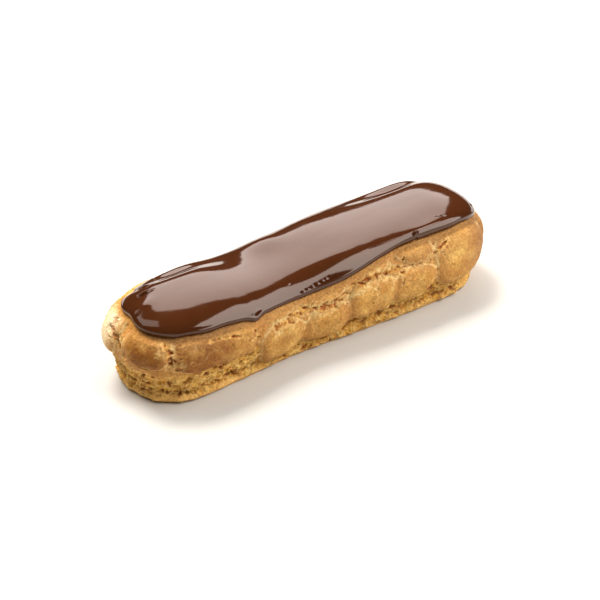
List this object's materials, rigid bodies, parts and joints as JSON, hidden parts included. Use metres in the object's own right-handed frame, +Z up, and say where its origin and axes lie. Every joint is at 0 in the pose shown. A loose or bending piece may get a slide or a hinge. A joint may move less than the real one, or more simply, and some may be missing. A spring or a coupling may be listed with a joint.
{
  "type": "chocolate eclair",
  "caption": "Baked choux pastry eclair: an oblong bun with puffed sides over a torn lower band and a flat base, with a rounded coat of glossy chocolate icing on its top.",
  "frame": {"origin": "bottom centre of the whole eclair, on the plane it rests on", "axes": "+X along the bun towards its taller end, +Y across it, +Z up"},
  "size_m": [0.1308, 0.043, 0.0285],
  "materials": {
    "baked_crust": "matte golden-brown baked crust",
    "chocolate": "glossy milk-brown chocolate icing"
  },
  "bodies": {
    "root": {"choux_bun": "baked_crust", "chocolate_icing": "chocolate"}
  },
  "joints": []
}
